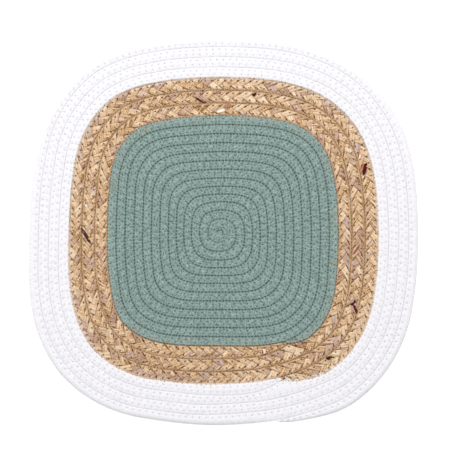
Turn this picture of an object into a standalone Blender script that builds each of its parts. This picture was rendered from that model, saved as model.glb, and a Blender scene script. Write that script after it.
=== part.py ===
"""A rounded-square placemat made of three ropes laid in one flat spiral.

A sage cotton rope is coiled from the middle outward, a plait of dried husk goes round it, and a
white cotton rope makes the border. Each turn is sewn to the turn inside it. The ropes run
clockwise seen from above, +X is the mat's right and +Y its far side, and the mat lies on z = 0.
"""

import math

import bmesh
import bpy
import numpy as np

# How the mat is coiled, in turns counted from the middle.
START_TURN = 0.5
SAGE_TURNS = 14.0
PLAIT_TURNS = 3.025
WHITE_TURNS = 4.012
PLAIT_END = SAGE_TURNS + PLAIT_TURNS
WHITE_END = PLAIT_END + WHITE_TURNS
JOIN_DIRECTION = math.radians(296)

# Widths of the turns and thicknesses, in metres.
SAGE_WIDTH = 0.0087
PLAIT_WIDTH = 0.0127
WHITE_WIDTH = 0.0098
WHITE_TIP_WIDTH = 0.0035
COTTON_THICKNESS = 0.0060
PLAIT_THICKNESS = 0.0056
TURN_GAP = 0.0003

# After a join the width changes over a few hundredths of a turn, and the border narrows to its end.
CHANGE_TURNS = 0.08
END_TURNS = 0.04

# A rope ends in a slant and the next one starts against it. The turns outside are drawn in over
# the dip that this leaves: how much of it shows in the seam so many turns on, and how far along.
SLANT_TIP_WIDTH = 0.0025
SLANT_STATIONS = 5
DIP_COLUMNS = ("turns_on", "share", "reach_turns")
DIPS = (
    (0, 1.00, 0.045),
    (1, 0.40, 0.070),
    (2, 0.42, 0.070),
    (3, 0.30, 0.050),
    (4, 0.25, 0.050),
)
JOINS = ((SAGE_TURNS, SAGE_WIDTH), (PLAIT_END, PLAIT_WIDTH))

# The sage coil grows from a round middle into a rounded square: half its side, and how square it
# is (2 is a circle), at a few turns from the middle.
COIL_COLUMNS = ("turn", "half_side", "squareness")
COIL_GROWTH = (
    (0.0, 0.0008, 2.0),
    (0.8, 0.0068, 2.1),
    (3.0, 0.0256, 2.8),
    (6.0, 0.0479, 4.0),
    (10.0, 0.0816, 4.1),
    (14.0, 0.1166, 3.35),
)

# Hand sewing leaves the seams a little uneven: how far they stand out of the true form.
BULGE_COLUMNS = ("direction_degrees", "at_sage", "at_plait", "at_rim")
BULGE = (
    (0, 0.0002, 0.0012, 0.0008),
    (25, -0.0012, -0.0006, 0.0000),
    (45, -0.0004, -0.0018, -0.0012),
    (62, -0.0006, -0.0022, -0.0020),
    (90, 0.0012, 0.0002, 0.0006),
    (112, -0.0002, -0.0010, -0.0010),
    (128, 0.0004, 0.0006, 0.0008),
    (158, -0.0030, -0.0046, -0.0046),
    (185, -0.0010, -0.0018, -0.0016),
    (207, -0.0020, 0.0006, 0.0022),
    (222, 0.0010, 0.0020, 0.0032),
    (250, 0.0008, -0.0014, -0.0010),
    (270, 0.0012, 0.0004, 0.0004),
    (285, 0.0020, 0.0018, 0.0012),
    (302, 0.0024, 0.0018, 0.0002),
    (314, -0.0002, 0.0002, 0.0004),
    (342, -0.0012, -0.0002, -0.0004),
)

# Sections of the solids: the corners take a closer spacing than the sides.
STATIONS_PER_TURN = 48
INNER_STATIONS_PER_TURN = 24
INNER_TURNS = 6.5
CORNERS = 4
CORNER_CROWDING = 0.1

# A rope pressed flat by its stitching: share of its width from the inner edge, share of its height.
MIDDLE = 0.5
ROPE_PROFILE = (
    (0.20, 0.0),
    (0.80, 0.0),
    (1.00, 0.45),
    (0.82, 0.86),
    (0.50, 1.00),
    (0.18, 0.86),
    (0.00, 0.45),
)

# The plait: its strands cross in turn from either edge, so each side has a lobe in every pitch.
LOBE_PITCH = 0.0118
GROOVE_DEPTH = 0.0012
LOBE_SLANT = 0.5
PLAIN_ROWS_AT_END = 3
PLAIT_PROFILE = (
    (0.16, 0.0),
    (0.84, 0.0),
    (1.00, 0.42),
    (0.77, 1.00),
    (0.50, 0.92),
    (0.23, 1.00),
    (0.00, 0.42),
)
OUTER_LOBE, INNER_LOBE = 3, 5

SAGE_COLOUR = (0.246, 0.328, 0.305, 1.0)
HUSK_COLOUR = (0.571, 0.381, 0.235, 1.0)
WHITE_COLOUR = (0.922, 0.913, 0.939, 1.0)
COTTON_ROUGHNESS = 0.9
HUSK_ROUGHNESS = 0.7
SHARP_ANGLE = math.radians(60)


def column(table, names, name):
    return [row[names.index(name)] for row in table]


def directions(turns):
    """Directions of points on the spiral: clockwise, with more of them in the corners."""
    even = JOIN_DIRECTION + 2 * math.pi * (SAGE_TURNS - turns)
    return even + CORNER_CROWDING * np.sin(CORNERS * even)


def rounded_square(turns, angles):
    """The sage coil's seam: its distance from the middle."""
    known = column(COIL_GROWTH, COIL_COLUMNS, "turn")
    half = np.interp(turns, known, column(COIL_GROWTH, COIL_COLUMNS, "half_side"))
    power = np.interp(turns, known, column(COIL_GROWTH, COIL_COLUMNS, "squareness"))
    across = np.abs(np.cos(angles)) ** power
    along = np.abs(np.sin(angles)) ** power
    return half * (across + along) ** (-1 / power)


def turn_widths(turns):
    """The width of the rope whose outer seam is at this turn."""
    changes = (
        (SAGE_TURNS, SAGE_WIDTH),
        (SAGE_TURNS + CHANGE_TURNS, PLAIT_WIDTH),
        (PLAIT_END, PLAIT_WIDTH),
        (PLAIT_END + CHANGE_TURNS, WHITE_WIDTH),
        (WHITE_END - END_TURNS, WHITE_WIDTH),
        (WHITE_END, WHITE_TIP_WIDTH),
    )
    return np.interp(turns, *zip(*changes))


def bulge_at(turns, angles):
    """How far the seam stands out of the true form, which grows from nothing in the middle."""
    degrees = np.degrees(angles) % 360
    known = column(BULGE, BULGE_COLUMNS, "direction_degrees")
    at_sage, at_plait, at_rim = (
        np.interp(degrees, known, column(BULGE, BULGE_COLUMNS, name), period=360)
        for name in BULGE_COLUMNS[1:]
    )
    over_plait = np.clip((turns - SAGE_TURNS) / PLAIT_TURNS, 0, 1)
    over_white = np.clip((turns - PLAIT_END) / WHITE_TURNS, 0, 1)
    bulge = at_sage + over_plait * (at_plait - at_sage) + over_white * (at_rim - at_plait)
    return bulge * np.clip(turns / SAGE_TURNS, 0, 1)


def dip_at(turn):
    """How far the seam dips towards the middle beside a join."""
    dip = 0
    for join, width in JOINS:
        for turns_on, share, reach in DIPS:
            near = max(0, 1 - abs(turn - join - turns_on) / reach)
            close = near * near * (3 - 2 * near if turns_on else 1)
            dip += share * (width - SLANT_TIP_WIDTH) * close
    return dip


def seam_points():
    """(turns, points) of the seams: one spiral line, a turn of rope lying between its turns."""
    last = math.ceil(WHITE_END * STATIONS_PER_TURN)
    turns = np.arange(-STATIONS_PER_TURN, last + 1) / STATIONS_PER_TURN
    angles = directions(turns)
    radii = rounded_square(turns, angles)
    widths = turn_widths(turns)
    for i in np.flatnonzero(turns > SAGE_TURNS):
        inside = i - STATIONS_PER_TURN
        rise = (radii[inside + 1] - radii[inside - 1]) / (angles[inside + 1] - angles[inside - 1])
        radii[i] = radii[inside] + widths[i] * math.hypot(1, rise / radii[inside])
    radii = radii + bulge_at(turns, angles)
    points = np.column_stack((radii * np.cos(angles), radii * np.sin(angles)))
    drawn_in = 1 - np.array([dip_at(turn) for turn in turns]) / radii
    rim = (points * drawn_in[:, None])[turns > WHITE_END - 1]
    middle = -(rim.min(axis=0) + rim.max(axis=0)) / 2
    return turns, points + middle, middle


SEAM_TURNS, SEAM_POINTS, COIL_MIDDLE = seam_points()


def seam_at(turn):
    point = np.array([np.interp(turn, SEAM_TURNS, SEAM_POINTS[:, i]) for i in (0, 1)])
    outward = point - COIL_MIDDLE
    return point - dip_at(turn) * outward / np.linalg.norm(outward)


def across_rope(turn, share):
    """A point on the rope at this turn, from its inner edge (0) to its outer edge (1)."""
    inner, outer = seam_at(turn - 1), seam_at(turn)
    step = outer - inner
    margin = step / np.linalg.norm(step) * TURN_GAP / 2
    return inner + margin + share * (step - 2 * margin)


def rope_section(turn, thickness):
    """The section of a cotton rope at this turn."""
    return [(*across_rope(turn, share), height * thickness) for share, height in ROPE_PROFILE]


def plait_section(turn, row, slant):
    """A row of the plait: one side's lobe is high, and its edges run ahead of its middle."""
    groove = INNER_LOBE if row % 2 else OUTER_LOBE
    section = []
    for i, (share, height) in enumerate(PLAIT_PROFILE):
        lead = slant * abs(share - MIDDLE) / MIDDLE
        z = height * PLAIT_THICKNESS - (GROOVE_DEPTH if i == groove else 0)
        section.append((*across_rope(turn + lead, share), z))
    return section


def swept_solid(name, sections, material):
    """One closed body through the sections, which all have the same number of points."""
    mesh = bpy.data.meshes.new(name)
    body = bmesh.new()
    rings = [[body.verts.new(point) for point in section] for section in sections]
    for ring, following in zip(rings, rings[1:]):
        for i in range(len(ring)):
            body.faces.new((ring[i - 1], ring[i], following[i], following[i - 1]))
    body.faces.new(rings[0])
    body.faces.new(rings[-1])
    bmesh.ops.recalc_face_normals(body, faces=body.faces)
    body.to_mesh(mesh)
    body.free()
    mesh.shade_smooth()
    mesh.set_sharp_from_angle(angle=SHARP_ANGLE)
    mesh.materials.append(material)
    obj = bpy.data.objects.new(name, mesh)
    bpy.context.scene.collection.objects.link(obj)
    return obj


def finish(name, colour, roughness):
    material = bpy.data.materials.new(name)
    material.use_nodes = True
    shader = material.node_tree.nodes["Principled BSDF"]
    shader.inputs["Base Color"].default_value = colour
    shader.inputs["Roughness"].default_value = roughness
    shader.inputs["Metallic"].default_value = 0.0
    return material


def stations(first, last, per_turn):
    """Turns at the seams' own stations from first to last, with both ends, and closer at the dips."""
    inside = np.arange(math.floor(first * per_turn) + 1, math.ceil(last * per_turn)) / per_turn
    slant = np.linspace(-1, 1, 2 * SLANT_STATIONS + 1)
    seams = [(join + turns_on, reach) for join, _ in JOINS for turns_on, _, reach in DIPS]
    sides = [seam + beside + slant * reach for seam, reach in seams for beside in (0, 1)]
    closer = [turn for side in sides for turn in side if first < turn < last]
    return [first, *sorted({*inside, *closer}), last]


def end_gap(turn):
    """Half the gap between two ropes that meet at this turn, as a share of a turn."""
    radius = np.linalg.norm(across_rope(turn, MIDDLE))
    return TURN_GAP / 2 / (2 * math.pi * radius)


def sage_rope_coil():
    last = SAGE_TURNS - end_gap(SAGE_TURNS)
    turns = stations(START_TURN, INNER_TURNS, INNER_STATIONS_PER_TURN)
    turns += stations(INNER_TURNS, last, STATIONS_PER_TURN)[1:]
    sections = [rope_section(turn, COTTON_THICKNESS) for turn in turns]
    return swept_solid("sage_rope_coil", sections, finish("sage cotton", SAGE_COLOUR, COTTON_ROUGHNESS))


def plait_rows(first, last):
    """Rows of the plait, half a lobe apart along its middle, as turns."""
    turns = np.array(stations(first, last, STATIONS_PER_TURN))
    middle = np.array([across_rope(turn, MIDDLE) for turn in turns])
    lengths = np.linalg.norm(np.diff(middle, axis=0), axis=1)
    travelled = np.concatenate(([0], np.cumsum(lengths)))
    count = round(travelled[-1] / (LOBE_PITCH / 2))
    return np.interp(np.linspace(0, travelled[-1], count + 1), travelled, turns)


def husk_plait_band():
    first = SAGE_TURNS + end_gap(SAGE_TURNS)
    last = PLAIT_END - end_gap(PLAIT_END)
    rows = plait_rows(first, last)
    sections = []
    for row, turn in enumerate(rows):
        from_end = min(row, len(rows) - 1 - row)
        row_step = rows[min(row + 1, len(rows) - 1)] - rows[max(row - 1, 0)]
        slant = row_step * LOBE_SLANT * min(1, from_end / PLAIN_ROWS_AT_END)
        sections.append(plait_section(turn, row, slant))
    return swept_solid("husk_plait_band", sections, finish("dried husk", HUSK_COLOUR, HUSK_ROUGHNESS))


def white_rope_border():
    first = PLAIT_END + end_gap(PLAIT_END)
    turns = stations(first, WHITE_END, STATIONS_PER_TURN)
    sections = [rope_section(turn, COTTON_THICKNESS) for turn in turns]
    return swept_solid("white_rope_border", sections, finish("white cotton", WHITE_COLOUR, COTTON_ROUGHNESS))


for leftover in list(bpy.data.objects):
    bpy.data.objects.remove(leftover, do_unlink=True)
sage_rope_coil()
husk_plait_band()
white_rope_border()
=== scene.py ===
import math

import bpy
import numpy as np
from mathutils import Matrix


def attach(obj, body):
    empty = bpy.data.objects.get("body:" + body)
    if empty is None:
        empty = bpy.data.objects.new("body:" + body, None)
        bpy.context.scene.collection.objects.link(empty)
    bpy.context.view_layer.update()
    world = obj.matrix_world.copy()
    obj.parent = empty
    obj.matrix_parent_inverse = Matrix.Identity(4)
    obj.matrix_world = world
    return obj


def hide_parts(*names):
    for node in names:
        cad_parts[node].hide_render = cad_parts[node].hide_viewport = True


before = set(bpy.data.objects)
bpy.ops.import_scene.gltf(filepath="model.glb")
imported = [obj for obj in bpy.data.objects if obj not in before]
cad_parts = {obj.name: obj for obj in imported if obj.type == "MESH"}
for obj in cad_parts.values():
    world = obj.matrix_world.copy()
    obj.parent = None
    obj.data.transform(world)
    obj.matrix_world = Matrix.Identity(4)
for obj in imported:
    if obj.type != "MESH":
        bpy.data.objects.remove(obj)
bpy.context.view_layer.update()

# ==== The sewn spiral ====
# All three ropes are laid along one flat spiral, clockwise seen from above, and each turn is sewn
# to the turn inside it. The seam between two turns is the spiral's line, and a rope lies between
# the seam of its own turn and that of the turn before.
START_TURN = 0.5
SAGE_TURNS = 14.0
PLAIT_TURNS = 3.025
WHITE_TURNS = 4.012
PLAIT_END = SAGE_TURNS + PLAIT_TURNS
WHITE_END = PLAIT_END + WHITE_TURNS
JOIN_DIRECTION = math.radians(296)
SAGE_WIDTH = 0.0087
PLAIT_WIDTH = 0.0127
WHITE_WIDTH = 0.0098
WHITE_TIP_WIDTH = 0.0035
CHANGE_TURNS = 0.08
END_TURNS = 0.04
CORNERS = 4
CORNER_CROWDING = 0.1
SEAM_STATIONS = 384
SLOPE_STATIONS = 8

# A rope ends in a slant and the next one starts against it. The turns outside are drawn in over
# the dip that this leaves: how much of it shows in the seam so many turns on, and how far along.
SLANT_TIP_WIDTH = 0.0025
DIPS = (  # turns on, share, reach in turns
    (0, 1.00, 0.045),
    (1, 0.40, 0.070),
    (2, 0.42, 0.070),
    (3, 0.30, 0.050),
    (4, 0.25, 0.050),
)
JOINS = ((SAGE_TURNS, SAGE_WIDTH), (PLAIT_END, PLAIT_WIDTH))

# The sage coil grows from a round middle to a rounded square. The real coil's sides then stand
# out or in a little, in each direction from the middle, at the ends of the sage, plait and white.
COIL_COLUMNS = ("turn", "half_side", "squareness")
COIL_GROWTH = (
    (0.0, 0.0001, 2.0),
    (0.8, 0.0068, 2.1),
    (3.0, 0.0256, 2.8),
    (6.0, 0.0479, 4.0),
    (10.0, 0.0816, 4.1),
    (14.0, 0.1166, 3.35),
)
BULGE_COLUMNS = ("direction_degrees", "at_sage", "at_plait", "at_rim")
BULGE = (
    (0, 0.0002, 0.0012, 0.0008),
    (25, -0.0012, -0.0006, 0.0000),
    (45, -0.0004, -0.0018, -0.0012),
    (62, -0.0006, -0.0022, -0.0020),
    (90, 0.0012, 0.0002, 0.0006),
    (112, -0.0002, -0.0010, -0.0010),
    (128, 0.0004, 0.0006, 0.0008),
    (158, -0.0030, -0.0046, -0.0046),
    (185, -0.0010, -0.0018, -0.0016),
    (207, -0.0020, 0.0006, 0.0022),
    (222, 0.0010, 0.0020, 0.0032),
    (250, 0.0008, -0.0014, -0.0010),
    (270, 0.0012, 0.0004, 0.0004),
    (285, 0.0020, 0.0018, 0.0012),
    (302, 0.0024, 0.0018, 0.0002),
    (314, -0.0002, 0.0002, 0.0004),
    (342, -0.0012, -0.0002, -0.0004),
)


def column(table, names, name):
    """One column of a table, by its name."""
    return [row[names.index(name)] for row in table]


def directions(turns):
    """Directions of points on the spiral: clockwise, with more of them in the corners."""
    even = JOIN_DIRECTION + 2 * math.pi * (SAGE_TURNS - turns)
    return even + CORNER_CROWDING * np.sin(CORNERS * even)


def rounded_square(turns, angles):
    """The sage coil's seam: its distance from the middle."""
    known = column(COIL_GROWTH, COIL_COLUMNS, "turn")
    half = np.interp(turns, known, column(COIL_GROWTH, COIL_COLUMNS, "half_side"))
    power = np.interp(turns, known, column(COIL_GROWTH, COIL_COLUMNS, "squareness"))
    across = np.abs(np.cos(angles)) ** power
    along = np.abs(np.sin(angles)) ** power
    return half * (across + along) ** (-1 / power)


def turn_widths(turns):
    """The width of the rope whose outer seam is at this turn."""
    changes = (
        (SAGE_TURNS, SAGE_WIDTH),
        (SAGE_TURNS + CHANGE_TURNS, PLAIT_WIDTH),
        (PLAIT_END, PLAIT_WIDTH),
        (PLAIT_END + CHANGE_TURNS, WHITE_WIDTH),
        (WHITE_END - END_TURNS, WHITE_WIDTH),
        (WHITE_END, WHITE_TIP_WIDTH),
    )
    return np.interp(turns, *zip(*changes))


def bulge_at(turns, angles):
    """How far the seam stands out of the true form, which grows from nothing in the middle."""
    degrees = np.degrees(angles) % 360
    known = column(BULGE, BULGE_COLUMNS, "direction_degrees")
    at_sage, at_plait, at_rim = (
        np.interp(degrees, known, column(BULGE, BULGE_COLUMNS, name), period=360)
        for name in BULGE_COLUMNS[1:])
    over_plait = np.clip((turns - SAGE_TURNS) / (PLAIT_END - SAGE_TURNS), 0, 1)
    over_white = np.clip((turns - PLAIT_END) / (WHITE_END - PLAIT_END), 0, 1)
    bulge = at_sage + over_plait * (at_plait - at_sage) + over_white * (at_rim - at_plait)
    return bulge * np.clip(turns / SAGE_TURNS, 0, 1)


def dip_at(turns):
    """How far the seam dips towards the middle beside a join."""
    dip = np.zeros(np.shape(turns))
    for join, width in JOINS:
        for turns_on, share, reach in DIPS:
            near = np.clip(1 - np.abs(turns - join - turns_on) / reach, 0, 1)
            close = near * near * (3 - 2 * near if turns_on else 1)
            dip += share * (width - SLANT_TIP_WIDTH) * close
    return dip


def lay_seam():
    """The seam's turns and points, each turn beside the turn inside it, and the coil's middle."""
    last = math.ceil(WHITE_END * SEAM_STATIONS)
    turns = np.arange(-SEAM_STATIONS, last + 1) / SEAM_STATIONS
    angles = directions(turns)
    radii = rounded_square(turns, angles)
    widths = turn_widths(turns)
    for i in np.flatnonzero(turns > SAGE_TURNS):
        inside = i - SEAM_STATIONS
        before, after = inside - SLOPE_STATIONS, inside + SLOPE_STATIONS
        rise = (radii[after] - radii[before]) / (angles[after] - angles[before])
        radii[i] = radii[inside] + widths[i] * math.hypot(1, rise / radii[inside])
    radii = radii + bulge_at(turns, angles)
    points = np.column_stack((radii * np.cos(angles), radii * np.sin(angles)))
    drawn_in = 1 - dip_at(turns) / radii
    rim = (points * drawn_in[:, None])[turns > WHITE_END - 1]
    middle = -(rim.min(axis=0) + rim.max(axis=0)) / 2
    return turns, points + middle, middle


seam_turns, seam_points, coil_middle = lay_seam()


def seam_at(turns):
    """Points on the seam, drawn in beside the joins."""
    points = np.stack([np.interp(turns, seam_turns, seam_points[:, i]) for i in (0, 1)], axis=-1)
    outward = points - coil_middle
    outward /= np.linalg.norm(outward, axis=-1)[..., None]
    return points - dip_at(turns)[..., None] * outward


def across_rope(turns, shares):
    """Points on the rope at these turns, from its inner edge (0) to its outer edge (1)."""
    inner, outer = seam_at(turns - 1), seam_at(turns)
    return inner + np.asarray(shares)[..., None] * (outer - inner)


def laid_length(first, last):
    """(turns, metres) travelled along the middle of the rope between two turns."""
    turns = np.linspace(first, last, int((last - first) * SEAM_STATIONS))
    middle = across_rope(turns, np.full(len(turns), 0.5))
    steps = np.linalg.norm(np.diff(middle, axis=0), axis=1)
    return turns, np.concatenate(([0], np.cumsum(steps)))


# ==== The zigzag stitch ====
# A zigzag stitch of cotton thread, about 6.4 mm from hole to hole on either side and 6 mm wide,
# holds each turn to the next. The needle presses a small dimple beside the seam at each end of
# a stitch, and the thread crosses the seam from dimple to dimple, above and underneath. The shade
# in the dimples and in the seam's gaps is painted on the ropes and the husk as dark spots.
STITCH_PITCH = 0.0064
STITCH_REACH = 0.00295
DIMPLE_RADIUS = 0.0011
DIMPLE_DEPTH = 0.0006
THREAD_RADIUS = 0.00015
THREAD_SIDES = ((1, 0), (0, 1), (-1, 0), (0, -1))
THREAD_COLUMNS = ("share", "height")


def stitch_counts():
    """Whole stitches sewn up to each station of the seam."""
    steps = np.linalg.norm(np.diff(seam_points, axis=0), axis=1)
    return np.concatenate(([0], np.cumsum(steps))) / STITCH_PITCH


seam_counts = stitch_counts()


def stitch_places(turns, shares):
    """For points on a rope, how far along and from the inner and the outer seam they lie."""
    turns, shares = np.broadcast_arrays(turns, shares)
    widths = np.linalg.norm(seam_at(turns) - seam_at(turns - 1), axis=-1)
    beside = np.zeros(turns.shape)
    inner = np.interp(turns - 1, seam_turns, seam_counts) * STITCH_PITCH
    outer = (np.interp(turns, seam_turns, seam_counts) + 0.5) * STITCH_PITCH
    inner_holes = np.stack((inner, widths * shares, beside), axis=-1)
    outer_holes = np.stack((outer, widths * (1 - shares), turns), axis=-1)
    return inner_holes, outer_holes


def dimples(holes):
    """How deep the nearest needle hole has pressed each point."""
    along = (holes[..., 0] + STITCH_PITCH / 2) % STITCH_PITCH - STITCH_PITCH / 2
    away = np.hypot(along, holes[..., 1] - STITCH_REACH)
    return DIMPLE_DEPTH * np.exp(-((away / DIMPLE_RADIUS) ** 2))


def mesh_piece(name, points, faces, marks, material):
    """A smooth mesh object with vectors marked on its points."""
    mesh = bpy.data.meshes.new(name)
    mesh.from_pydata(points.reshape(-1, 3).tolist(), [], faces)
    for mark, values in marks.items():
        attribute = mesh.attributes.new(mark, "FLOAT_VECTOR", "POINT")
        attribute.data.foreach_set("vector", values.astype(np.float32).ravel())
    mesh.shade_smooth()
    mesh.materials.append(material)
    piece = bpy.data.objects.new(name, mesh)
    bpy.context.scene.collection.objects.link(piece)
    return piece


def tube_faces(rings, around, first=0):
    """Faces of one closed tube of rings, each with the same number of points round it."""
    j = np.arange(around)
    start = first + np.arange(rings - 1)[:, None] * around
    here, beside = start + j, start + (j + 1) % around
    quads = np.stack((here, here + around, beside + around, beside), axis=-1)
    faces = quads.reshape(-1, 4).tolist()
    faces.append((first + j).tolist())
    faces.append((first + (rings - 1) * around + j[::-1]).tolist())
    return faces


def sew(name, first, last, over, under, material):
    """The thread along the seam from one turn to another, with its heights from hole to hole."""
    turns = np.linspace(first, last, int((last - first) * SEAM_STATIONS))
    counts = np.interp(turns, seam_turns, seam_counts)
    ends = np.arange(math.ceil(2 * counts[0]), math.floor(2 * counts[-1]) + 1)
    at = np.interp(ends / 2, counts, turns)
    seam = seam_at(at)
    ahead = seam_at(at + 0.5 / SEAM_STATIONS) - seam_at(at - 0.5 / SEAM_STATIONS)
    ahead /= np.linalg.norm(ahead, axis=1)[:, None]
    outward = np.column_stack((-ahead[:, 1], ahead[:, 0]))
    sides = np.where(ends % 2 == 0, 1.0, -1.0)[:, None]
    holes = seam + sides * STITCH_REACH * outward
    points, faces = [], []
    for heights in (over, under):
        shares = np.array(column(heights, THREAD_COLUMNS, "share"))
        levels = np.array(column(heights, THREAD_COLUMNS, "height"))
        run = holes[1:] - holes[:-1]
        run_side = np.column_stack((-run[:, 1], run[:, 0])) / np.linalg.norm(run, axis=1)[:, None]
        line = holes[:-1, None, :] + shares[None, :, None] * run[:, None, :]
        around = len(THREAD_SIDES)
        rings = np.empty((len(run), len(shares), around, 3))
        for k, (aside, up) in enumerate(THREAD_SIDES):
            rings[:, :, k, :2] = line + aside * THREAD_RADIUS * run_side[:, None, :]
            rings[:, :, k, 2] = levels + up * THREAD_RADIUS
        base = sum(len(p) for p in points)
        points.append(rings.reshape(-1, 3))
        stitch = np.array(tube_faces(len(shares), around))
        starts = base + np.arange(len(run))[:, None, None] * len(shares) * around
        faces += (starts + stitch[None]).reshape(-1, around).tolist()
    return mesh_piece(name, np.concatenate(points), faces, {}, material)


# ==== Braided cotton rope ====
# Cotton rope is braided round a core from loose yarns, whose short slanting stitches stand up a
# little under a soft down of fibre. The finest yarns and tufts are too fine to show at this
# distance, so they are drawn about as wide as one pixel of the picture.
YARN_WIDTH = 0.0012
YARN_STITCH = 0.0021
YARN_SLANT = 0.9
TUFT_WIDTH = 0.0007
FIBRE_CLUMP = 0.0008
DYE_PATCH = 0.016
HOLE_WANDER = 0.0012
HOLE_WANDER_LENGTH = 0.004


def colour(hex_text):
    """A colour as light, from its sRGB hex."""
    shares = [int(hex_text[i : i + 2], 16) / 255 for i in (0, 2, 4)]
    return (*(s / 12.92 if s <= 0.04045 else ((s + 0.055) / 1.055) ** 2.4 for s in shares), 1.0)


def add_node(tree, kind, settings=None, links=None):
    """Adds a node with its settings or ramp stops, its inputs being values or others' outputs."""
    node = tree.nodes.new("ShaderNode" + kind)
    for name, value in (settings or {}).items():
        if name == "stops":
            elements = node.color_ramp.elements
            elements[0].position, elements[0].color = value[0]
            elements[1].position, elements[1].color = value[-1]
            for place, shade in value[1:-1]:
                elements.new(place).color = shade
        else:
            setattr(node, name, value)
    for key, value in (links or {}).items():
        if isinstance(value, bpy.types.NodeSocket):
            tree.links.new(value, node.inputs[key])
        else:
            node.inputs[key].default_value = value
    return node


def layered(tree, start, layers):
    """The start, with each layer's share of it added on."""
    for layer, share in layers:
        start = add_node(tree, "Math", {"operation": "MULTIPLY_ADD"},
                         {0: layer, 1: share, 2: start}).outputs[0]
    return start


def marked(tree, mark):
    """The three parts of a vector that is marked on the piece's points."""
    vector = add_node(tree, "Attribute", {"attribute_name": mark}).outputs["Vector"]
    return add_node(tree, "SeparateXYZ", links={0: vector}).outputs


def new_material(name):
    """A material with its node tree and shader."""
    material = bpy.data.materials.new(name)
    material.use_nodes = True
    return material, material.node_tree, material.node_tree.nodes["Principled BSDF"]


SMOOTH = {"interpolation_type": "SMOOTHSTEP"}


def needle_hole_group(hole_radius, gap_radius, sharp):
    """Gives 1 in the needle holes beside a seam, and 1 in its gaps between the threads.

    The spots wander a little from their places, and sharp is the share of a spot that is full.
    """
    tree = bpy.data.node_groups.new("needle holes", "ShaderNodeTree")
    tree.interface.new_socket("Hole", in_out="OUTPUT", socket_type="NodeSocketFloat")
    tree.interface.new_socket("Gap", in_out="OUTPUT", socket_type="NodeSocketFloat")
    place = add_node(tree, "TexCoord")
    wander = add_node(tree, "TexNoise", links={"Vector": place.outputs["Object"],
                                               "Scale": 1 / HOLE_WANDER_LENGTH})
    about = add_node(tree, "VectorMath", {"operation": "SUBTRACT"},
                     {0: wander.outputs["Color"], 1: (0.5, 0.5, 0.5)})
    shift = add_node(tree, "VectorMath", {"operation": "SCALE"},
                     {0: about.outputs[0], "Scale": HOLE_WANDER})
    out = tree.nodes.new("NodeGroupOutput")
    for socket, pitch, reach, radius in (
        ("Hole", STITCH_PITCH, STITCH_REACH, hole_radius),
        ("Gap", STITCH_PITCH / 2, 0.0, gap_radius),
    ):
        spots = []
        for mark in ("inner_holes", "outer_holes"):
            at = add_node(tree, "Attribute", {"attribute_name": mark})
            moved = add_node(tree, "VectorMath", {"operation": "ADD"},
                             {0: at.outputs["Vector"], 1: shift.outputs[0]})
            turned = add_node(tree, "VectorMath", {"operation": "WRAP"},
                              {0: moved.outputs[0], 1: (pitch / 2, 1, 1), 2: (-pitch / 2, -1, -1)})
            flat = add_node(tree, "VectorMath", {"operation": "MULTIPLY"},
                            {0: turned.outputs[0], 1: (1, 1, 0)})
            away = add_node(tree, "VectorMath", {"operation": "DISTANCE"},
                            {0: flat.outputs[0], 1: (0, reach, 0)})
            spots.append(add_node(tree, "MapRange", SMOOTH, {
                "Value": away.outputs["Value"], "From Min": radius * sharp,
                "From Max": radius * (2 - sharp), "To Min": 1.0, "To Max": 0.0}))
        both = add_node(tree, "Math", {"operation": "MAXIMUM"},
                        {0: spots[0].outputs[0], 1: spots[1].outputs[0]})
        tree.links.new(both.outputs[0], out.inputs[socket])
    return tree


def braid_group():
    """Gives how high the yarn of a braided cover stands, stitch by stitch."""
    tree = bpy.data.node_groups.new("braided cover", "ShaderNodeTree")
    tree.interface.new_socket("Height", in_out="OUTPUT", socket_type="NodeSocketFloat")
    lay = add_node(tree, "Attribute", {"attribute_name": "lay"})
    scaled = add_node(tree, "VectorMath", {"operation": "DIVIDE"},
                      {0: lay.outputs["Vector"], 1: (YARN_STITCH, YARN_WIDTH, 1)})
    parts = add_node(tree, "SeparateXYZ", links={0: scaled.outputs[0]})
    fold = add_node(tree, "Math", {"operation": "PINGPONG"}, {0: parts.outputs["Y"], 1: 0.5})
    slanted = add_node(tree, "Math", {"operation": "MULTIPLY_ADD"},
                       {0: fold.outputs[0], 1: YARN_SLANT, 2: parts.outputs["X"]})
    lift = add_node(tree, "Math", {"operation": "PINGPONG"}, {0: slanted.outputs[0], 1: 0.5})
    across = add_node(tree, "Math", {"operation": "MULTIPLY"},
                      {0: fold.outputs[0], 1: lift.outputs[0]})
    height = add_node(tree, "Math", {"operation": "POWER"}, {0: across.outputs[0], 1: 0.5})
    out = tree.nodes.new("NodeGroupOutput")
    tree.links.new(height.outputs[0], out.inputs["Height"])
    return tree


braided_cover = braid_group()
# How far each layer of the cover moves the shade along its ramp, which starts a little below 0.
SHADE_START = -0.32
# Painted shade: the yarn's layer darkens the grooves between the braid's stitches, where the yarn
# lies low.
YARN_PAINTED_SHADE = 0.28
TUFT_SHADE = 0.80
FIBRE_SHADE = 0.45
PATCH_SHADE = 0.05
YARN_RELIEF = 0.0005
TUFT_RELIEF = 0.3
# The painted shade in the seams' gaps is faint in the middle and grows to full over the first
# turns.
FAINT_GAP_SHADE_TURN = 1.0
FULL_GAP_SHADE_TURN = 2.5
FAINT_GAP_SHADE_SHARE = 0.2


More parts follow.
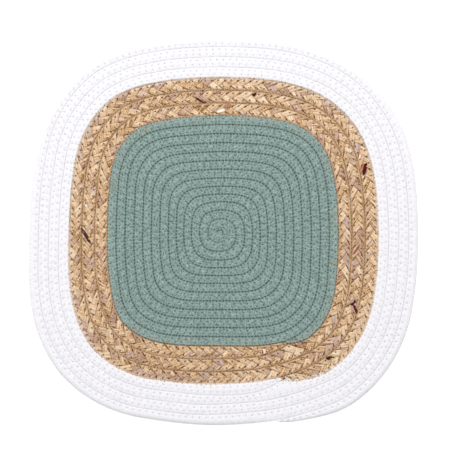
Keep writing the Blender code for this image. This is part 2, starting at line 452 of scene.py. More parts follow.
def braided_cotton(name, stops, hues, holes, painted_seam_shade, hole_shade_share, gap_shade_share, bump_share):
    """Matt cotton, flecked by its tufts, with painted shade in its needle holes and the seams'
    gaps, and a faint soft down.
    """
    material, tree, shader = new_material(name)
    place = add_node(tree, "TexCoord")
    braid = add_node(tree, "Group", {"node_tree": braided_cover})
    tuft = add_node(tree, "TexVoronoi", links={"Vector": place.outputs["Object"],
                                               "Scale": 1 / TUFT_WIDTH})
    tuft_parts = add_node(tree, "SeparateColor", links={0: tuft.outputs["Color"]})
    fibre = add_node(tree, "TexNoise", links={"Vector": place.outputs["Object"],
                                              "Scale": 1 / FIBRE_CLUMP, "Detail": 1.0})
    patch = add_node(tree, "TexNoise", links={"Vector": place.outputs["Object"],
                                              "Scale": 1 / DYE_PATCH, "Detail": 3.0})
    # The braid's height is painted shade, darker in the grooves between its stitches; the tufts,
    # fibres and dye patches vary the tone at random.
    mixed = layered(tree, SHADE_START, (
        (braid.outputs["Height"], YARN_PAINTED_SHADE),
        (tuft_parts.outputs[0], TUFT_SHADE),
        (fibre.outputs["Fac"], FIBRE_SHADE),
        (patch.outputs["Fac"], PATCH_SHADE),
    ))
    shade = add_node(tree, "ValToRGB", {"stops": stops}, {"Fac": mixed})
    hue = add_node(tree, "ValToRGB", {"stops": hues}, {"Fac": tuft_parts.outputs[1]})
    dyed = add_node(tree, "Mix", {"data_type": "RGBA", "blend_type": "MULTIPLY"},
                    {"Factor": 1.0, "A": shade.outputs["Color"], "B": hue.outputs["Color"]})
    # Painted shade: the needle holes and the seams' gaps are mixed towards a dark colour.
    hole = add_node(tree, "Group", {"node_tree": holes})
    dark = add_node(tree, "Math", {"operation": "MULTIPLY"},
                    {0: hole.outputs["Hole"], 1: hole_shade_share})
    gap_shade_fade = add_node(tree, "MapRange", {}, {
        "Value": marked(tree, "outer_holes")["Z"], "From Min": FAINT_GAP_SHADE_TURN, "From Max": FULL_GAP_SHADE_TURN,
        "To Min": gap_shade_share * FAINT_GAP_SHADE_SHARE, "To Max": gap_shade_share})
    seam_shade_share = add_node(tree, "Math", {"operation": "MULTIPLY_ADD"},
                      {0: hole.outputs["Gap"], 1: gap_shade_fade.outputs[0], 2: dark.outputs[0]})
    seam_shaded = add_node(tree, "Mix", {"data_type": "RGBA"},
                       {"Factor": seam_shade_share.outputs[0], "A": dyed.outputs["Result"], "B": painted_seam_shade})
    tree.links.new(seam_shaded.outputs["Result"], shader.inputs["Base Color"])
    raised = add_node(tree, "Math", {"operation": "MULTIPLY_ADD"},
                      {0: tuft_parts.outputs[0], 1: TUFT_RELIEF, 2: braid.outputs["Height"]})
    bump = add_node(tree, "Bump", links={"Height": raised.outputs[0], "Distance": YARN_RELIEF,
                                         "Strength": bump_share})
    tree.links.new(bump.outputs["Normal"], shader.inputs["Normal"])
    shader.inputs["Roughness"].default_value = 0.92
    shader.inputs["Specular IOR Level"].default_value = 0.25
    shader.inputs["Sheen Weight"].default_value = 0.15
    shader.inputs["Sheen Roughness"].default_value = 0.5
    return material, tree, shader, seam_shaded


# The stitching presses the rope into a flat oval, rounder above than where it lies on the table,
# and its top rises and falls a little in long waves. Its cut end leans towards the turn inside.
ROPE_TOP = 0.0059
ROPE_BOTTOM = 0.00025
ROPE_COLUMNS = ("share", "upper")
ROPE_ROUND = (
    (0.00, 1), (0.03, 1), (0.09, 1), (0.18, 1), (0.27, 1), (0.35, 1), (0.43, 1), (0.50, 1),
    (0.57, 1), (0.65, 1), (0.73, 1), (0.82, 1), (0.91, 1), (0.97, 1), (1.00, 1),
    (0.85, 0), (0.50, 0), (0.15, 0),
)
UNDERSIDE_SQUARENESS = 3.5
ROPE_STEP = 0.00125
END_ROUNDING = 0.0025
END_STATIONS = (0.0, 0.0002, 0.0006, 0.0012, 0.0019)
END_LEAST = 0.0004
WAVE_LENGTHS = (0.016, 0.037, 0.081)
WAVE_HEIGHT = 0.00008
MIDDLE_SHARE = 0.5
TIP_LEAN = 0.3
# The outermost turn has no seam on its outer side: its needle holes there lie out of reach.
FREE_TURNS = 0.02
NO_SEAM_AWAY = 0.5


def rope_coil(name, first, last, section, material, seed, tucks, tip_length=END_ROUNDING):
    """A rope coiled from turn to turn, its ends rounded and tucked past them by so many turns.

    Its section is its height at the side, its squareness, and its height at a side with no seam.
    """
    side, squareness, free_side = section
    known_turns, metres = laid_length(first - tucks[0], last + tucks[1])
    close = np.array(END_STATIONS)
    even = np.arange(END_ROUNDING, metres[-1] - END_ROUNDING, ROPE_STEP)
    along = np.concatenate((close, even, metres[-1] - close[::-1]))
    turns = np.interp(along, metres, known_turns)
    shares = np.array(column(ROPE_ROUND, ROPE_COLUMNS, "share"))
    upper = np.array(column(ROPE_ROUND, ROPE_COLUMNS, "upper"))
    power = np.where(upper == 1, squareness, UNDERSIDE_SQUARENESS)
    full = (1 - np.abs(2 * shares - 1) ** power) ** (1 / power)
    free = np.clip((turns - last + 1) / FREE_TURNS, 0, 1)[:, None] * (shares > MIDDLE_SHARE)
    level = side + (free_side - side) * free
    waves = np.random.default_rng(seed)
    lift = np.zeros(len(along))
    for length in WAVE_LENGTHS:
        start = waves.uniform(0, 2 * math.pi)
        lift += WAVE_HEIGHT * np.sin(along * 2 * math.pi / length + start)
    end = np.minimum(along / END_ROUNDING, (metres[-1] - along) / tip_length)
    rounding = np.sqrt(np.clip(1 - np.clip(1 - end, 0, 1) ** 2, END_LEAST, 1))
    lean = np.where(along > metres[-1] / 2, TIP_LEAN, MIDDLE_SHARE)[:, None]
    grid_shares = lean + (shares[None] - lean) * rounding[:, None]
    grid_turns = np.broadcast_to(turns[:, None], grid_shares.shape)
    inner_holes, outer_holes = stitch_places(grid_turns, grid_shares)
    outer_holes[..., 1] += NO_SEAM_AWAY * free * (free_side < side)
    pressed = (dimples(inner_holes) + dimples(outer_holes)) * upper
    rise = (ROPE_TOP - level + lift[:, None]) * full * upper
    drop = (level - ROPE_BOTTOM) * full * (1 - upper)
    points = np.empty((*grid_shares.shape, 3))
    points[..., :2] = across_rope(grid_turns, grid_shares)
    points[..., 2] = level + (rise - drop - pressed) * rounding[:, None]
    loop = points[len(points) // 2]
    girth = np.concatenate(([0], np.cumsum(np.linalg.norm(np.diff(loop, axis=0), axis=1))))
    folded = np.where(upper == 1, girth, girth[np.argmax(shares)] * shares)
    lay = np.zeros_like(points)
    lay[..., 0] = along[:, None]
    lay[..., 1] = folded
    lay[..., 2] = turns[:, None]
    marks = {"lay": lay, "inner_holes": inner_holes, "outer_holes": outer_holes}
    return mesh_piece(name, points, tube_faces(len(along), len(shares)), marks, material)


def declare(piece, node):
    """Says what a piece rides on, and hides the solid that it stands for."""
    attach(piece, "root")
    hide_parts(node)


# ==== The sage coil ====
# About 13.5 turns of melange cotton rope in sage green, coiled from the middle outward and sewn
# with a thread of the same green. The outermost turn has specks of tan and blue beside the husk.
SAGE_SECTION = (0.0050, 2.3, 0.0050)
SAGE_STOPS = (
    (0.05, colour("637874")),
    (0.35, colour("859A93")),
    (0.62, colour("98ACA8")),
    (1.00, colour("B8C8C4")),
)
SAGE_HUES = (
    (0.0, colour("F9FFF6")),
    (0.4, colour("FCFEFC")),
    (0.7, colour("FFFBFF")),
    (1.0, colour("F8FDFF")),
)
# Painted shade, dark sage, in the needle holes and the seams' gaps.
SAGE_SEAM_SHADE = colour("3A4E4A")
SPECK_WIDTH = 0.0011
SPECKED_FROM = 0.68
SPECKED_FULL = 0.80
SPECK_NEAR = 0.0028
SPECK_FAR = 0.0060
SPECK_FAR_SHARE = 0.25
SPECK_SHARE = 0.75
SPECK_STOPS = (
    (0.00, colour("C8925E")),
    (0.40, colour("A8967A")),
    (0.55, colour("84A6B0")),
    (1.00, colour("A4BAB0")),
)


def melange_cotton():
    """Matt braided cotton spun from several greens, which give it a fine mottle and some specks."""
    # Spots of painted shade at the needle holes and along the seams' gaps.
    holes = needle_hole_group(hole_radius=0.00070, gap_radius=0.00094, sharp=0.5)
    material, tree, shader, seam_shaded = braided_cotton(
        "braided melange cotton", SAGE_STOPS, SAGE_HUES, holes, SAGE_SEAM_SHADE,
        hole_shade_share=0.84, gap_shade_share=0.80, bump_share=0.5)
    last_turn = add_node(tree, "MapRange", SMOOTH, {
        "Value": marked(tree, "lay")["Z"],
        "From Min": SAGE_TURNS - 1.05, "From Max": SAGE_TURNS - 0.95})
    near_husk = add_node(tree, "MapRange", SMOOTH, {
        "Value": marked(tree, "outer_holes")["Y"], "From Min": SPECK_NEAR, "From Max": SPECK_FAR,
        "To Min": 1.0, "To Max": SPECK_FAR_SHARE})
    place = add_node(tree, "TexCoord")
    speck = add_node(tree, "TexVoronoi", links={"Vector": place.outputs["Object"],
                                                "Scale": 1 / SPECK_WIDTH})
    speck_parts = add_node(tree, "SeparateColor", links={0: speck.outputs["Color"]})
    specked = add_node(tree, "MapRange", SMOOTH, {
        "Value": speck_parts.outputs[0], "From Min": SPECKED_FROM, "From Max": SPECKED_FULL})
    tint = add_node(tree, "ValToRGB", {"stops": SPECK_STOPS}, {"Fac": speck_parts.outputs[1]})
    share = specked.outputs[0]
    for factor in (last_turn.outputs[0], near_husk.outputs[0], SPECK_SHARE):
        share = add_node(tree, "Math", {"operation": "MULTIPLY"}, {0: share, 1: factor}).outputs[0]
    speckled = add_node(tree, "Mix", {"data_type": "RGBA"}, {
        "Factor": share, "A": seam_shaded.outputs["Result"], "B": tint.outputs["Color"]})
    tree.links.new(speckled.outputs["Result"], shader.inputs["Base Color"])
    return material


TUCK_TURNS = 0.0025
START_TUCK_TURNS = 0.35
sage_coil = rope_coil("sage_coil", START_TURN, SAGE_TURNS, SAGE_SECTION, melange_cotton(), 3,
                      (START_TUCK_TURNS, TUCK_TURNS))
declare(sage_coil, "sage_rope_coil")

TWIST_LENGTH = 0.0024
TWIST_RELIEF = 0.0001


def thread_cotton(name, stops):
    """Spun cotton thread: matt, its twist changing its shade a little from stitch to stitch."""
    material, tree, shader = new_material(name)
    place = add_node(tree, "TexCoord")
    noise = add_node(tree, "TexNoise", links={"Vector": place.outputs["Object"],
                                              "Scale": 1 / TWIST_LENGTH})
    shade = add_node(tree, "ValToRGB", {"stops": stops}, {"Fac": noise.outputs["Fac"]})
    tree.links.new(shade.outputs["Color"], shader.inputs["Base Color"])
    twist = add_node(tree, "Bump", links={"Height": noise.outputs["Fac"], "Distance": TWIST_RELIEF})
    tree.links.new(twist.outputs["Normal"], shader.inputs["Normal"])
    shader.inputs["Roughness"].default_value = 0.85
    return material


COTTON_OVER = ((0.0, 0.00535), (0.10, 0.00580), (0.25, 0.00580), (0.5, 0.00570),
               (0.75, 0.00580), (0.90, 0.00580), (1.0, 0.00535))
COTTON_UNDER = ((0.0, 0.0005), (0.2, 0.00024), (0.5, 0.0005), (0.8, 0.00024), (1.0, 0.0005))
sage_thread = thread_cotton(
    "sage cotton thread", ((0.3, colour("6F8882")), (0.7, colour("A0B3AC"))))
sage_sewing = sew(
    "sage_sewing", START_TURN, SAGE_TURNS - 1, COTTON_OVER, COTTON_UNDER, sage_thread)
declare(sage_sewing, "sage_rope_coil")


# ==== The husk plait ====
# Three turns of a flat three-strand plait of dried husk. Each strand is a folded bundle of
# strips: it runs slantwise over one neighbour to the edge, folds under there and comes back up
# in the middle, so both edges show a row of lobes that point the way the band travels.
PLAIT_PERIOD = 0.0354
STRANDS = 3
ROWS_PER_PERIOD = 24
STRAND_HALF_WIDTH = 0.0060
STRAND_HALF_THICKNESS = 0.0011
STRAND_FLATNESS = 5.0
FOLD_SHARE = 0.398
WEAVE_RISE = 0.0010
WEAVE_TWIST = 178.0  # radians a metre: a strand's leading edge dives under before the other
PLAIT_MIDDLE = 0.0028
LOBE_START = -0.35  # radians: where a strand's new lobe begins, four of them to a period
PLAIT_TAPER = 0.006
PLAIT_TIP_SHARE = 0.25
STRAND_ROUND = (  # share of the half width, and above or below
    (-1.00, 0), (-0.82, 1), (-0.48, 1), (-0.16, 1), (0.16, 1), (0.48, 1), (0.82, 1),
    (1.00, 0), (0.75, -1), (0.30, -1), (-0.30, -1), (-0.75, -1),
)
# Some bundles gape along their middle. Each lobe has its own tone, and a few are quite pale.
GAPING_FROM = 0.6
GAPING_HALF_WIDTH = 0.2
GAPING_DEPTH = 0.3
TONE_MIDDLE = 0.512
TONE_SPREAD = 0.095
PALE_LOBES = ((-129, -89), (19, 132), (-108, -12), (131, 79))  # x and y in mm
PALE_TONE = 0.85
PALE_REACH_MM = 1.6
# Inner husk fills the band between the strands. Its outer edge stands up against the border.
CORE_SECTION = (  # share of the width, height
    (-0.005, 0.0010), (-0.005, 0.0044), (0.05, 0.0043), (0.12, 0.0030),
    (0.88, 0.0030), (0.95, 0.0043), (1.005, 0.0044), (1.005, 0.0010),
)
CORE_STEP = 0.004
CORE_INSET = 0.001
CORE_TONE = 0.45
BORDER_FROM = 0.9
BORDER_LIFT = 0.0006

# Strips and fibres run along a strand, and each lobe takes its own place in their pattern.
STRIP_LENGTH = 0.045
STRIP_WIDTH = 0.003
FIBRE_LENGTH = 0.0067
FIBRE_WIDTH = 0.001
BLOTCH_WIDTH = 0.0011
STRAND_STRETCH = 1.25
LOBE_STEP = 3.7
STRAND_STEP = 101.3
STRIP_SHADE = 0.26
HUSK_FIBRE_SHADE = 1.6
BLOTCH_SHADE = 1.6
HUSK_SHADE_START = 1.77
HUSK_STOPS = (
    (0.00, colour("8A633A")),
    (0.20, colour("C6A075")),
    (0.42, colour("DFBA90")),
    (0.68, colour("E8CCAA")),
    (1.00, colour("EDDDC9")),
)
STRIP_HUE_SHARE = 0.3
MAUVE_FROM = 0.80
MAUVE_FULL = 1.10
# Painted shade, brown, in the crevices at a strand's edges and in the gaps between its strips.
CREVICE_SHADE_FROM = 0.80
CREVICE_SHADE_FULL = 0.93
CREVICE_SHADE_SHARE = 0.85
STRIP_GAP_SHADE_SHARE = 0.35
FRINGE_NEAR = 0.002
FRINGE_FAR = 0.004
# Painted shade, dark brown, along the seams between the plait's turns and in the needle holes.
SEAM_LINE_NEAR = 0.0003
SEAM_LINE_FAR = 0.0008
SEAM_LINE_SHADE_SHARE = 0.65
SEAM_SHADE_SHARE = 0.9
HUSK_RELIEF = 0.0004
FIBRE_RELIEF = 0.4
MAUVE = colour("DEDAF0")
# The crevice, seam and hole colours are painted shade; the mauve and the fringe's cream are the
# husk's own.
CREVICE_PAINTED_SHADE = colour("7F501E")
FRINGE_CREAM = colour("EAD8C6")
SEAM_PAINTED_SHADE = colour("6E421A")
HOLE_PAINTED_SHADE = colour("5E3206")


def husk_material():
    """Dried husk: strips with a faint satin and fine fibres along them, straw to mauve brown, with
    painted shade in its crevices, seams and needle holes.
    """
    material, tree, shader = new_material("dried husk strips")
    grain = add_node(tree, "Attribute", {"attribute_name": "grain"})
    husk, outer = marked(tree, "husk"), marked(tree, "outer_holes")
    strip_place = add_node(tree, "VectorMath", {"operation": "MULTIPLY"}, {
        0: grain.outputs["Vector"], 1: (1 / STRIP_LENGTH, 1 / STRIP_WIDTH, 1.0)})
    strip = add_node(tree, "TexVoronoi", links={"Vector": strip_place.outputs[0], "Scale": 1.0})
    strip_parts = add_node(tree, "SeparateColor", links={0: strip.outputs["Color"]})
    strip_edge = add_node(tree, "TexVoronoi", {"feature": "DISTANCE_TO_EDGE"},
                          {"Vector": strip_place.outputs[0], "Scale": 1.0})
    fibre_place = add_node(tree, "VectorMath", {"operation": "MULTIPLY"}, {
        0: grain.outputs["Vector"], 1: (1 / FIBRE_LENGTH, 1 / FIBRE_WIDTH, 1.0)})
    fibres = add_node(tree, "TexNoise", links={"Vector": fibre_place.outputs[0], "Scale": 1.0,
                                               "Detail": 2.0})
    place = add_node(tree, "TexCoord")
    blotch = add_node(tree, "TexNoise", links={"Vector": place.outputs["Object"],
                                               "Scale": 1 / BLOTCH_WIDTH, "Detail": 1.0})
    mixed = layered(tree, husk["X"], (
        (strip_parts.outputs[0], STRIP_SHADE),
        (fibres.outputs["Fac"], HUSK_FIBRE_SHADE),
        (blotch.outputs["Fac"], BLOTCH_SHADE),
    ))
    toned = add_node(tree, "Math", {"operation": "SUBTRACT"}, {0: mixed, 1: HUSK_SHADE_START})
    shade = add_node(tree, "ValToRGB", {"stops": HUSK_STOPS}, {"Fac": toned.outputs[0]})
    hue = add_node(tree, "Math", {"operation": "MULTIPLY_ADD"},
                   {0: strip_parts.outputs[1], 1: STRIP_HUE_SHARE, 2: husk["Z"]})
    mauve = add_node(tree, "MapRange", SMOOTH, {
        "Value": hue.outputs[0], "From Min": MAUVE_FROM, "From Max": MAUVE_FULL})
    dyed = add_node(tree, "Mix", {"data_type": "RGBA", "blend_type": "MULTIPLY"},
                    {"Factor": mauve.outputs[0], "A": shade.outputs["Color"], "B": MAUVE})

    # Painted shade in the crevices at a strand's edges and between its strips, whose gaps also sink
    # the bump.
    edge = add_node(tree, "Math", {"operation": "ABSOLUTE"}, {0: marked(tree, "grain")["Y"]})
    edge_crevice_shade = add_node(tree, "MapRange", SMOOTH, {
        "Value": edge.outputs[0], "From Min": STRAND_HALF_WIDTH * CREVICE_SHADE_FROM,
        "From Max": STRAND_HALF_WIDTH * CREVICE_SHADE_FULL, "To Max": CREVICE_SHADE_SHARE})
    between = add_node(tree, "MapRange", SMOOTH, {
        "Value": strip_edge.outputs["Distance"], "From Min": 0.02, "From Max": 0.09,
        "To Min": STRIP_GAP_SHADE_SHARE, "To Max": 0.0})
    crevice_shade = add_node(tree, "Math", {"operation": "MAXIMUM"},
                         {0: edge_crevice_shade.outputs[0], 1: between.outputs[0]})

    # A pale fringe of strip ends along the border, where no painted seam shade shows.
    last_turn = add_node(tree, "MapRange", {}, {
        "Value": outer["Z"], "From Min": PLAIT_END - 1.0, "From Max": PLAIT_END - 0.98})
    at_border = add_node(tree, "MapRange", {}, {
        "Value": outer["Y"], "From Min": FRINGE_NEAR, "From Max": FRINGE_FAR,
        "To Min": 1.0, "To Max": 0.0})
    border = add_node(tree, "Math", {"operation": "MULTIPLY"},
                      {0: last_turn.outputs[0], 1: at_border.outputs[0]})
    fringe = add_node(tree, "Math", {"operation": "MULTIPLY"},
                      {0: border.outputs[0], 1: strip_parts.outputs[2]})
    inside = add_node(tree, "Math", {"operation": "MULTIPLY_ADD"},
                      {0: border.outputs[0], 1: -SEAM_SHADE_SHARE, 2: SEAM_SHADE_SHARE})

    # Painted shade: a dark line of dots in the other seams, and a dark needle hole at each end of a
    # stitch.
    hole = add_node(tree, "Group", {"node_tree": needle_hole_group(
        hole_radius=0.00080, gap_radius=0.00060, sharp=0.75)})
    beside = add_node(tree, "Math", {"operation": "MINIMUM"},
                      {0: marked(tree, "inner_holes")["Y"], 1: outer["Y"]})
    line = add_node(tree, "MapRange", SMOOTH, {
        "Value": beside.outputs[0], "From Min": SEAM_LINE_NEAR, "From Max": SEAM_LINE_FAR,
        "To Min": SEAM_LINE_SHADE_SHARE, "To Max": 0.0})
    dotted_seam_shade = add_node(tree, "Math", {"operation": "MAXIMUM"},
                      {0: line.outputs[0], 1: hole.outputs["Gap"]})
    seam_shade = add_node(tree, "Math", {"operation": "MULTIPLY"},
                   {0: dotted_seam_shade.outputs[0], 1: inside.outputs[0]})

    surface = dyed.outputs["Result"]
    for share, tint in ((crevice_shade.outputs[0], CREVICE_PAINTED_SHADE), (fringe.outputs[0], FRINGE_CREAM),
                        (seam_shade.outputs[0], SEAM_PAINTED_SHADE), (hole.outputs["Hole"], HOLE_PAINTED_SHADE)):
        surface = add_node(tree, "Mix", {"data_type": "RGBA"},
                           {"Factor": share, "A": surface, "B": tint}).outputs["Result"]
    tree.links.new(surface, shader.inputs["Base Color"])
    folds = add_node(tree, "Math", {"operation": "MULTIPLY_ADD"},
                     {0: fibres.outputs["Fac"], 1: FIBRE_RELIEF, 2: between.outputs[0]})
    bump = add_node(tree, "Bump", {"invert": True}, {
        "Height": folds.outputs[0], "Distance": HUSK_RELIEF, "Strength": 0.6})
    tree.links.new(bump.outputs["Normal"], shader.inputs["Normal"])
    shader.inputs["Roughness"].default_value = 0.58
    shader.inputs["Specular IOR Level"].default_value = 0.2
    return material


def plait_strands(first, last, material):
    """The three strands and, between their layers, the flat inner husk that fills the band.

    Each strand's ring of points is drawn round its own line, which swings from edge to edge once
    a period and rises twice, and the ring stands square to the strand as that leans and folds.
    """
    known_turns, metres = laid_length(first, last)
    total = metres[-1]
    rows = int(total / PLAIT_PERIOD * ROWS_PER_PERIOD)
    b, side = np.array(STRAND_ROUND).T
    full = (1 - np.abs(b) ** STRAND_FLATNESS) ** 0.5
    random = np.random.default_rng(11)
    points, faces, inner, outer, grains, husks = [], [], [], [], [], []

    def keep(xy, z, along, shares, grain, husk, count):
        base = sum(len(p) for p in points)
        points.append(np.concatenate((xy, z[..., None]), axis=-1).reshape(-1, 3))
        places = stitch_places(np.interp(along, metres, known_turns), shares)
        inner.append(places[0].reshape(-1, 3))
        outer.append(places[1].reshape(-1, 3))
        grains.append(grain.reshape(-1, 3))
        husks.append(husk.reshape(-1, 3))
        faces.extend(tube_faces(count, xy.shape[1], base))

    middle = np.linspace(0, total, rows)
    for strand in range(STRANDS):
        phase = 2 * math.pi * (middle / PLAIT_PERIOD + strand / STRANDS)[:, None]
        along = np.clip(middle[:, None] + b * STRAND_HALF_WIDTH, 0, total)
        twist = WEAVE_TWIST * STRAND_HALF_WIDTH * b * np.cos(phase) ** 2
        lobe = np.floor((phase + twist / 2 - LOBE_START) / (math.pi / 2)).astype(int)
        lobe -= lobe.min()
        tones = random.normal(TONE_MIDDLE, TONE_SPREAD, lobe.max() + 1)
        splits = random.random(lobe.max() + 1)
        end = np.minimum(along, total - along)
        taper = np.clip(end / PLAIT_TAPER, PLAIT_TIP_SHARE, 1) ** 0.5
        shares = 0.5 + FOLD_SHARE * np.sin(phase) * np.ones_like(along)
        rise_y = -2 * WEAVE_RISE * np.cos(2 * phase)
        rise_z = FOLD_SHARE * PLAIT_WIDTH * np.cos(phase)
        size = np.hypot(rise_y, rise_z)
        gaping = (splits[lobe] > GAPING_FROM) * (np.abs(b) < GAPING_HALF_WIDTH)
        thick = STRAND_HALF_THICKNESS * full * side * (1 - GAPING_DEPTH * gaping)
        shares = shares + thick * rise_y / size / PLAIT_WIDTH
        z = WEAVE_RISE * np.sin(2 * phase + twist) + thick * rise_z / size
        turns = np.interp(along, metres, known_turns)
        places = stitch_places(turns, shares)
        pressed = (dimples(places[0]) + dimples(places[1])) * (z > 0)
        z = PLAIT_MIDDLE + z * taper - pressed
        xy = across_rope(turns, shares)
        spots = xy * 1000
        on_top = z > PLAIT_MIDDLE + WEAVE_RISE
        for x_mm, y_mm in PALE_LOBES:
            away = np.where(on_top, np.hypot(spots[..., 0] - x_mm, spots[..., 1] - y_mm), np.inf)
            nearest = np.unravel_index(np.argmin(away), away.shape)
            if away[nearest] < PALE_REACH_MM:
                tones[lobe[nearest]] = PALE_TONE
        grain = np.stack((
            middle[:, None] * STRAND_STRETCH + 0 * b, b * STRAND_HALF_WIDTH + 0 * along,
            lobe * LOBE_STEP + strand * STRAND_STEP), axis=-1)
        husk = np.stack((tones[lobe], 0 * along, splits[lobe]), axis=-1)
        keep(xy, z, along, shares, grain, husk, rows)

    core_rows = np.linspace(CORE_INSET, total - CORE_INSET, int(total / CORE_STEP))
    core_ring = np.array(CORE_SECTION)
    along = core_rows[:, None] + 0 * core_ring[:, 0]
    shares = core_ring[:, 0] + 0 * along
    turns = np.interp(along, metres, known_turns)
    at_border = (turns > last - TUCK_TURNS - 1) & (shares > BORDER_FROM)
    z = core_ring[:, 1] + BORDER_LIFT * (at_border & (core_ring[:, 1] > core_ring[0, 1]))
    grain = np.stack((along, (shares - 0.5) * STRAND_HALF_WIDTH, 0 * along), axis=-1)
    husk = np.stack((0 * along + CORE_TONE, 0 * along, 0 * along), axis=-1)
    keep(across_rope(turns, shares), z, along, shares, grain, husk, len(core_rows))
    marks = {"inner_holes": np.concatenate(inner), "outer_holes": np.concatenate(outer),
             "grain": np.concatenate(grains), "husk": np.concatenate(husks)}
    return mesh_piece("husk_plait", np.concatenate(points), faces, marks, material)


husk_plait = plait_strands(SAGE_TURNS - TUCK_TURNS, PLAIT_END + TUCK_TURNS, husk_material())
declare(husk_plait, "husk_plait_band")

PLAIT_OVER = ((0.0, 0.0046), (0.10, 0.0051), (0.25, 0.0050), (0.5, 0.0044),
              (0.75, 0.0050), (0.90, 0.0051), (1.0, 0.0046))
tan_thread = thread_cotton(
    "tan cotton thread", ((0.3, colour("B08A63")), (0.7, colour("D9BE97"))))
plait_sewing = sew("plait_sewing", SAGE_TURNS - 1, PLAIT_END, PLAIT_OVER, COTTON_UNDER, tan_thread)
declare(plait_sewing, "husk_plait_band")


# ==== The white border ====
# Four turns of white cotton rope, sewn with white thread. The last turn has no other to press it
# flat, so its outer side is rounder, and its end narrows and is sewn down against the turn inside.
WHITE_SECTION = (0.0051, 2.1, 0.0018)
WHITE_TIP_LENGTH = 0.013
WHITE_STOPS = (
    (0.10, colour("E6E4E8")),
    (0.35, colour("EFEEF2")),
    (0.62, colour("F3F2F6")),
    (0.95, colour("F9F9FB")),
)
WHITE_HUES = ((0.0, colour("FFFEFF")), (1.0, colour("FFFFFE")))
# Painted shade, pale grey, in the white rope's needle holes and seams' gaps.
WHITE_SEAM_SHADE = colour("B4B2B6")
white_holes = needle_hole_group(hole_radius=0.00086, gap_radius=0.00085, sharp=0.5)
white_cotton = braided_cotton(
    "braided white cotton", WHITE_STOPS, WHITE_HUES, white_holes, WHITE_SEAM_SHADE,
    hole_shade_share=0.44, gap_shade_share=0.08, bump_share=0.4)[0]
white_border = rope_coil("white_border", PLAIT_END, WHITE_END, WHITE_SECTION, white_cotton, 5,
                         (TUCK_TURNS / 2, 0), WHITE_TIP_LENGTH)
declare(white_border, "white_rope_border")
white_thread = thread_cotton(
    "white cotton thread", ((0.3, colour("EDEDEF")), (0.7, colour("FAFAFB"))))
white_sewing = sew(
    "white_sewing", PLAIT_END, WHITE_END - 1, COTTON_OVER, COTTON_UNDER, white_thread)
declare(white_sewing, "white_rope_border")


# ==== Loose bits of husk ====
# A few dark red, brown or white strips show on the plait, bent over its surface; the cream strip at
# (-2.3, 116.6) is a painted highlight, a glint on the plait. The plait's cut end is frayed, and
# short ends of husk stick out over the border's rope along the last turn.
LOOSE_STRIPS = (  # x, y, length and width in mm, direction in degrees, tint
    (135.2, 61.0, 11.5, 1.3, 76, "C4683E"),
    (137.3, 60.2, 13.0, 3.6, 76, "4A0606"),
    (135.7, 52.5, 2.6, 1.1, 60, "F4E8DC"),
    (-133.5, -4.4, 18.0, 3.3, 121, "4C2A2E"),
    (126.2, -69.7, 7.0, 5.0, 20, "4A0E10"),
    (128.2, -75.8, 9.7, 2.6, -66, "5A1814"),
    (128.9, -18.5, 12.0, 1.6, 53, "9A4E2E"),
    (103.6, -123.2, 8.7, 3.4, 10, "342218"),
    (30.2, 132.4, 4.9, 2.4, 40, "4A1C18"),
    (-22.7, 126.8, 11.7, 1.8, -33, "5A2216"),
    (-20.1, 136.1, 2.2, 2.0, 0, "55444C"),
    (-18.5, 125.2, 4.5, 1.4, 0, "6A1E14"),
    (3.8, 121.4, 8.0, 4.0, 18, "B07C66"),
    (38.0, -117.6, 4.5, 1.3, 100, "7E4222"),
    (40.6, -119.8, 4.5, 1.2, 25, "7E4222"),
    (62.2, -143.5, 5.0, 0.8, 70, "DCE6F4"),
    (60.6, -142.2, 3.5, 0.8, 115, "E6ECF6"),
    (-133.1, 24.3, 3.2, 2.6, 90, "E4DFDA"),
    # Painted highlight: this cream strip stands for a glint on the plait's satin.
    (-2.3, 116.6, 8.7, 2.9, 15, "F6F0E0"),
)
FRAY_COUNT = 170
FRAY_TURNS = 0.068
FRAY_CROWDING = 1.3
FRAY_SHARES = (0.80, 0.97)
FRAY_LEAN = 0.5
FRAY_SPREAD = 1.0
FRAY_LENGTHS = (0.0012, 0.0038)
FRAY_WIDTHS = (0.0003, 0.0006)
FRAY_TINTS = ("F4ECDC", "E6D2B4", "F4F2F8", "F8F8FC", "CDB08A", "B59A80")
PICK_SPACING_TURNS = 0.0036
PICK_SHARES = (0.90, 1.01)
PICK_SPREAD = 0.7
PICK_LENGTHS = (0.0012, 0.0026)
PICK_WIDTHS = (0.0007, 0.0012)
PICK_TINTS = ("CDBFB8", "A99A92", "E8DFDA", "D2B490", "B8A69C")
STRIP_THICKNESS = 0.00022
STRIP_TIP_SHARE = 0.12
STRIP_RINGS = 7
STRIP_ROUND = ((1, 0), (0.6, 1), (-0.6, 1), (-1, 0), (-0.6, -1), (0.6, -1))
LOOK_DOWN_FROM = 0.05
SEAM_HEIGHT = 0.004


def top_of(pieces, x, y):
    """The height of the highest of the pieces there, or of the thread in a seam."""
    hits = [piece.ray_cast((x, y, LOOK_DOWN_FROM), (0, 0, -1)) for piece in pieces]
    return max((hit[1].z for hit in hits if hit[0]), default=SEAM_HEIGHT)


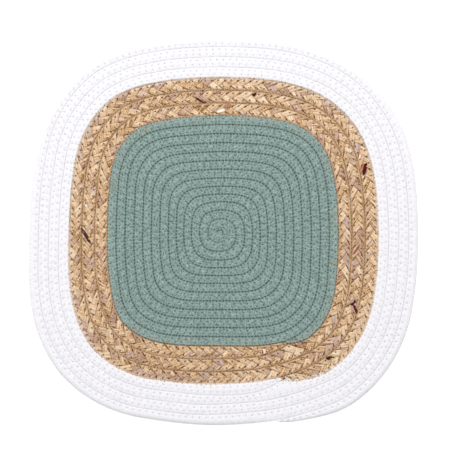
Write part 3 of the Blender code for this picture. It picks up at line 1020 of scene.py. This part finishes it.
def lay_strips(name, strips, pieces, material):
    """Thin pointed strips that follow the surface of the pieces under them."""
    points, faces, tints = [], [], []
    for x, y, length, width, direction, tint in strips:
        ahead = np.array((math.cos(direction), math.sin(direction)))
        aside = np.array((-ahead[1], ahead[0]))
        rings = np.empty((STRIP_RINGS, len(STRIP_ROUND), 3))
        for i, share in enumerate(np.linspace(-1, 1, STRIP_RINGS)):
            spot = np.array((x, y)) + share * length / 2 * ahead
            half = width / 2 * max(STRIP_TIP_SHARE, math.sqrt(1 - share**4))
            height = top_of(pieces, *spot) + STRIP_THICKNESS
            for k, (across, up) in enumerate(STRIP_ROUND):
                rings[i, k, :2] = spot + across * half * aside
                rings[i, k, 2] = height + up * STRIP_THICKNESS / 2
        faces.extend(tube_faces(STRIP_RINGS, len(STRIP_ROUND), sum(len(p) for p in points)))
        points.append(rings.reshape(-1, 3))
        tints.append(np.tile(colour(tint)[:3], (STRIP_RINGS * len(STRIP_ROUND), 1)))
    marks = {"tint": np.concatenate(tints)}
    return mesh_piece(name, np.concatenate(points), faces, marks, material)


def loose_material():
    """Loose bits of dry husk: dull, each of its own tint."""
    material, tree, shader = new_material("loose dried husk")
    tint = add_node(tree, "Attribute", {"attribute_name": "tint"})
    tree.links.new(tint.outputs["Color"], shader.inputs["Base Color"])
    shader.inputs["Roughness"].default_value = 0.7
    shader.inputs["Specular IOR Level"].default_value = 0.15
    return material


def frayed_bits():
    """The frayed end's fibres, closer together towards the end, and the ends of husk."""
    random = np.random.default_rng(23)
    bits = []
    for turn in PLAIT_END - FRAY_TURNS * random.random(FRAY_COUNT) ** FRAY_CROWDING:
        x, y = across_rope(np.array(turn), random.uniform(*FRAY_SHARES))
        direction = math.atan2(y, x) + random.normal(FRAY_LEAN, FRAY_SPREAD)
        length = random.uniform(*FRAY_LENGTHS)
        tint = FRAY_TINTS[random.integers(len(FRAY_TINTS))]
        bits.append((x, y, length, random.uniform(*FRAY_WIDTHS), direction, tint))
    for turn in np.arange(PLAIT_END - 1, PLAIT_END, PICK_SPACING_TURNS):
        x, y = across_rope(np.array(turn), random.uniform(*PICK_SHARES))
        direction = math.atan2(y, x) + random.normal(0.0, PICK_SPREAD)
        tint = PICK_TINTS[random.integers(len(PICK_TINTS))]
        length = random.uniform(*PICK_LENGTHS)
        bits.append((x, y, length, random.uniform(*PICK_WIDTHS), direction, tint))
    return bits


bpy.context.view_layer.update()
loose_husk = loose_material()
chosen_strips = [(x / 1000, y / 1000, length / 1000, width / 1000, math.radians(degrees), tint)
                 for x, y, length, width, degrees, tint in LOOSE_STRIPS]
for name, bits in (("loose_strips", chosen_strips), ("frayed_edge", frayed_bits())):
    piece = lay_strips(name, bits, (husk_plait, white_border), loose_husk)
    declare(piece, "husk_plait_band")


# ==== The floor, the light and the camera ====
# The mat lies on plain white paper under a large soft lamp beyond its far side, a little to the
# left, and a white sky. The paper glows a little, so that it stays white beside the mat. The
# camera looks straight down, and the mat is a little left of the picture's middle and below it.
FLOOR_SIDE = 30.0
bpy.ops.object.select_all(action="DESELECT")
bpy.ops.mesh.primitive_plane_add(size=FLOOR_SIDE)
floor = bpy.context.object
floor.name = "floor"
paper, _, shader = new_material("matt white paper")
shader.inputs["Base Color"].default_value = colour("F2F2F2")
shader.inputs["Roughness"].default_value = 0.9
shader.inputs["Emission Color"].default_value = (1, 1, 1, 1)
shader.inputs["Emission Strength"].default_value = 0.5
floor.data.materials.append(paper)

world = bpy.data.worlds.new("studio")
bpy.context.scene.world = world
world.use_nodes = True
sky = world.node_tree.nodes["Background"]
sky.inputs["Color"].default_value = (1.0, 1.0, 1.0, 1.0)
sky.inputs["Strength"].default_value = 0.48

LAMP_PLACE = (-0.25, 1.35, 2.2)
LAMP_SIDE = 1.4
LAMP_WATTS = 55.5
bpy.ops.object.light_add(type="AREA", location=LAMP_PLACE)
lamp = bpy.context.object
lamp.name = "soft lamp"
lamp.data.shape = "SQUARE"
lamp.data.size = LAMP_SIDE
lamp.data.energy = LAMP_WATTS
lamp.rotation_euler = (-lamp.location).to_track_quat("-Z", "Y").to_euler()

PHOTO_SIDE_PX = 452
MAT_MIDDLE_PX = (223.4, 231.0)
MAT_WIDTH = 0.380
MAT_WIDTH_PX = 391
METRES_PER_PX = MAT_WIDTH / MAT_WIDTH_PX
CAMERA_HEIGHT = 1.4
SENSOR_WIDTH = 36.0
camera_x = (PHOTO_SIDE_PX / 2 - MAT_MIDDLE_PX[0]) * METRES_PER_PX
camera_y = (MAT_MIDDLE_PX[1] - PHOTO_SIDE_PX / 2) * METRES_PER_PX
bpy.ops.object.camera_add(location=(camera_x, camera_y, CAMERA_HEIGHT), rotation=(0, 0, 0))
camera = bpy.context.object
camera.data.sensor_width = SENSOR_WIDTH
camera.data.lens = SENSOR_WIDTH * (CAMERA_HEIGHT - ROPE_TOP / 2) / (PHOTO_SIDE_PX * METRES_PER_PX)
bpy.context.scene.camera = camera
bpy.context.scene.view_settings.view_transform = "Standard"
